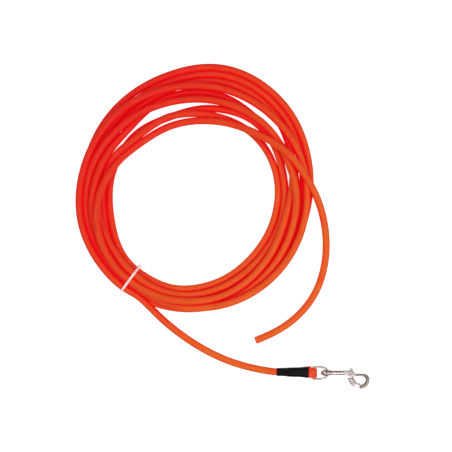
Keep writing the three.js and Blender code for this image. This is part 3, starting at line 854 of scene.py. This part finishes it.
def make_tie(winding):
    """The cable tie, drawn tight round the strands, with its head on the coil's inner side."""
    slices_in = round((COIL_START_ANGLE - TIE_ANGLE) / 360 * SLICES)
    strands = winding[slices_in::SLICES]
    radius = np.hypot(strands[:, 0] - COIL_CENTRE[0], strands[:, 1] - COIL_CENTRE[1])
    section = np.column_stack([radius, strands[:, 2]])
    reach = CORD_RADIUS + TIE_THICKNESS / 2
    loop = []
    for angle in np.radians(np.arange(0, 360, TIE_SEARCH_STEP)):
        outward = np.array((math.cos(angle), math.sin(angle)))
        loop.append(section[np.argmax(section @ outward)] + outward * reach)
    loop = even_steps(np.vstack([loop, loop[:1]]), TIE_STEP)[:-1]
    for _ in range(TIE_ROUNDING):
        loop = (np.roll(loop, 1, axis=0) + 2 * loop + np.roll(loop, -1, axis=0)) / 4
    turn = math.radians(TIE_ANGLE)
    outwards = np.array((math.cos(turn), math.sin(turn), 0.0))
    along = np.array((-math.sin(turn), math.cos(turn), 0.0))
    centre = np.array((*COIL_CENTRE, 0.0))
    middles = centre + np.outer(loop[:, 0], outwards) + np.outer(loop[:, 1], AXIS_Z)
    ahead = np.roll(middles, -1, axis=0) - np.roll(middles, 1, axis=0)
    faces_out = np.cross(ahead, along)
    faces_out /= np.linalg.norm(faces_out, axis=1)[:, None]
    band = lofted([oval(middle, along, out, TIE_WIDTH / 2, TIE_THICKNESS / 2, TIE_SIDES,
                        squareness=TIE_SQUARENESS)
                   for middle, out in zip(middles, faces_out)], closed=True)
    at_head = centre + outwards * (loop[:, 0].min() - TIE_HEAD_OFFSET) + AXIS_Z * TIE_HEAD_Z
    head = lofted([oval(at_head + AXIS_Z * up, outwards, along, w, d, TIE_HEAD_SIDES,
                        squareness=TIE_HEAD_SQUARENESS)
                   for up, w, d in TIE_HEAD_ROWS])
    at_tail = at_head - outwards * TIE_TAIL_OFFSET
    tail = lofted([oval(at_tail + AXIS_Z * up, along, outwards, TIE_WIDTH / 2, TIE_TAIL_HALF_THICKNESS,
                        TIE_SIDES, squareness=TIE_SQUARENESS)
                   for up in (0, TIE_TAIL_LENGTH)])
    shell = cast([band, head, tail], voxel=TIE_VOXEL, smoothing=TIE_SMOOTHING)
    return piece("cable_tie", shell, "root", clear_nylon(), ["coil_tie"])


def make_end_loop():
    """The cord's end inside the sleeve, folded round the eye's bar and flattened there."""
    sections = [oval((x, SLEEVE_Y, z), AXIS_Y, AXIS_Z, w, h) for x, z, w, h in LOWER_LEG]
    for angle in np.radians(np.linspace(-90, 90, FOLD_RINGS)):
        outward = np.array((math.cos(angle), 0.0, math.sin(angle)))
        middle = BAR + outward * FOLD_RADIUS
        sections.append(oval(middle, AXIS_Y, -outward, FOLD_HALF_WIDTH, FOLD_HALF_THICKNESS,
                             squareness=FOLD_SQUARENESS))
    sections += [oval((x, SLEEVE_Y, z), AXIS_Y, -AXIS_Z, w, h) for x, z, w, h in UPPER_LEG]
    shell = lofted(finer(sections, LOFT_STEP))
    # The loop gets the same painted light, over a shorter span.
    coat = orange_coat("loop_coat", LOOP_PAINTED_LIGHT_SPAN)
    loop = piece("end_loop", shell, "root", coat, ["cord_end_loop"], HARD_EDGE_LOOP)
    lay_attribute(loop, shell[0][:, [1, 2, 0]])
    return loop


def make_sleeve():
    """The shrink sleeve: drawn in round the cord, with a step where the folded-back end stops."""
    rows = catmull_rom(SLEEVE_ROWS, SLEEVE_STEP)
    angles = np.arange(SLEEVE_SIDES) / SLEEVE_SIDES * 2 * math.pi
    outside = []
    for x, z, w, h, straight in rows:
        ring = oval((x, SLEEVE_Y, z), AXIS_Y, AXIS_Z, w, h, SLEEVE_SIDES, straight, SLEEVE_SQUARENESS)
        crumple = CRUMPLE * math.exp(-((x - CRUMPLE_X) / CRUMPLE_REACH) ** 2)
        out = ring - np.array((x, SLEEVE_Y, z))
        out /= np.linalg.norm(out, axis=1)[:, None]
        waves = np.sin(11 * angles + 1.2 * x) + 0.6 * np.sin(5 * angles - 2)
        outside.append(ring + out * (crumple * waves)[:, None])
    outside = np.array(outside)
    for end, size in SLEEVE_END_WAVES:
        outside[end, :, 0] += size * np.sin(2 * angles + end)
    middles = np.column_stack([rows[:, 0], np.full(len(rows), SLEEVE_Y), rows[:, 1]])[:, None, :]
    spokes = outside - middles
    spokes[:, :, 0] = 0.0
    spokes /= np.linalg.norm(spokes, axis=2)[:, :, None]
    inside = (outside - spokes * SLEEVE_WALL)[::-1]
    sections = np.concatenate([outside, inside])
    shell = lofted(sections, closed=True)
    return piece("heat_shrink", shell, "root", black_shrink(), ["shrink_sleeve"],
                 HARD_EDGE_SLEEVE)


def swivel_eye_shell():
    """The eye's bent wire and its collar, which turns on the stud."""
    half = np.array([(x, y, 0.0) for x, y in EYE_PATH])
    mirrored = half[:0:-1] * (1, -1, 1)
    wire = catmull_rom(np.vstack([mirrored, half]), EYE_STEP)
    radii = np.full(len(wire), EYE_WIRE_RADIUS)
    return cast([tube_mesh(wire, radii, EYE_SIDES), turned(COLLAR, closed=True)])


def hook_shell():
    """The hook's bend, oval in section, round at its tip."""
    rows = catmull_rom(HOOK_ROWS, LOFT_STEP)
    line = np.column_stack([rows[:, :2], np.zeros(len(rows))])
    ahead = np.gradient(line, axis=0)
    ahead /= np.linalg.norm(ahead, axis=1)[:, None]
    sides = np.cross(AXIS_Z, ahead)
    return lofted([oval(middle, side, AXIS_Z, row[2], row[3], HOOK_SIDES)
                   for middle, side, row in zip(line, sides, rows)])


def pin_hole():
    """A cutter for the hole that the gate's pin goes through."""
    hole = turned([(-PIN_HOLE_REACH, PIN_HOLE_RADIUS), (PIN_HOLE_REACH, PIN_HOLE_RADIUS)], PIN_SIDES)
    return moved(upright(hole), (*PIVOT, 0))


def snap_body_shell():
    """The stud, shoulder and shank, the two cheeks, and the hook, cast in one."""
    shells = [turned(STUD_AND_SHANK), plate(CHEEK_OUTLINE, CHEEK_THICKNESS, CHEEK_EDGE), hook_shell()]
    spring_bore = moved(turned(SPRING_BORE, BORE_SIDES), (0, SPRING_Y, 0))
    return cast(shells, [block(SLOT), spring_bore, pin_hole(), block(HOOK_SEAT)])


def gate_shell():
    """The gate's leaf and the lobe that a thumb pulls."""
    leaf = plate(GATE_OUTLINE, GATE_THICKNESS, GATE_EDGE)
    lobe = plate(LOBE_OUTLINE, LOBE_THICKNESS, LOBE_EDGE)
    return cast([leaf, lobe], [pin_hole()])


def spring_shell():
    """The coil spring in the shank, which keeps the gate shut."""
    turns = np.linspace(0, SPRING_TURNS, SPRING_TURNS * SPRING_STEPS + 1)
    angles = turns * 2 * math.pi
    x = np.linspace(SPRING_SPAN[0], SPRING_SPAN[1], len(turns))
    line = np.column_stack([
        x, SPRING_Y + SPRING_RADIUS * np.cos(angles), SPRING_RADIUS * np.sin(angles)])
    return tube_mesh(line, np.full(len(line), SPRING_WIRE), SPRING_SIDES)


def make_snap():
    """The trigger snap: eye, body, gate, pin and spring."""
    nickel = metal("nickel_plate", NICKEL, NICKEL_ROUGHNESS)
    steel = metal("spring_steel", STEEL, STEEL_ROUGHNESS)
    pin = moved(upright(turned(PIN_ROWS, PIN_SIDES)), (*PIVOT, 0))
    for name, shell, body, replaced in (("eye_wire", swivel_eye_shell(), "eye", "swivel_eye"),
                                        ("snap_casting", snap_body_shell(), "snap", "snap_body"),
                                        ("gate_lever", gate_shell(), "gate", "gate"),
                                        ("pivot_pin", pin, "snap", "gate_pin")):
        piece(name, on_snap(shell), body, nickel, [replaced], HARD_EDGE_METAL)
    spring = piece("return_spring", on_snap(spring_shell()), "snap", steel, ["gate_spring"])
    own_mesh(spring)
    for node in ("crimp_band_1", "crimp_band_2"):
        for material_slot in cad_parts[node].material_slots:
            material_slot.material = nickel


def make_floor():
    """The white sheet that the leash lies on. It belongs to the stage only."""
    half = FLOOR_HALF
    corners = [(-half, -half, 0), (half, -half, 0), (half, half, 0), (-half, half, 0)]
    floor = new_object("floor", corners, [(0, 1, 2, 3)])
    floor.data.materials.append(pale_floor())


def make_camera():
    """The camera, straight above the leash."""
    data = bpy.data.cameras.new("camera")
    data.lens = LENS
    data.sensor_width = SENSOR
    camera = bpy.data.objects.new("camera", data)
    bpy.context.scene.collection.objects.link(camera)
    distance = VIEW_WIDTH * LENS / SENSOR
    camera.location = Vector((*VIEW_CENTRE, distance)) * MM
    bpy.context.scene.camera = camera


def area_light(name, place, power):
    """A large soft light that is turned towards the leash."""
    data = bpy.data.lights.new(name, "AREA")
    data.size = LIGHT_SIZE
    data.energy = power
    light = bpy.data.objects.new(name, data)
    light.location = place
    aim = Vector(LIGHT_TARGET) - Vector(place)
    light.rotation_euler = aim.to_track_quat("-Z", "Y").to_euler()
    bpy.context.scene.collection.objects.link(light)


def studio_world():
    """A bright ceiling that falls off to dark walls, which is what polished metal shows."""
    world = bpy.data.worlds.new("studio")
    world.use_nodes = True
    height = add_node(world, "ShaderNodeSeparateXYZ", {0: add_node(world, "ShaderNodeTexCoord").outputs[0]})
    ceiling = from_to(world, height.outputs[2], WALL_TO_CEILING, (0.0, 1.0))
    hue = mixed(world, ceiling, WALL_COLOUR, CEILING_COLOUR)
    background = world.node_tree.nodes["Background"]
    world.node_tree.links.new(hue, background.inputs["Color"])
    background.inputs["Strength"].default_value = 1.0
    return world


def make_lights():
    """The surroundings and the two lights."""
    bpy.context.scene.world = studio_world()
    bpy.context.scene.view_settings.view_transform = "Standard"
    area_light("key", KEY_PLACE, KEY_POWER)
    area_light("fill", FILL_PLACE, FILL_POWER)


make_camera()
winding = settled_winding()
cord, route, length = make_cord(winding)
loop = make_end_loop()
tie = make_tie(winding)
make_sleeve()
make_snap()
make_floor()
make_lights()
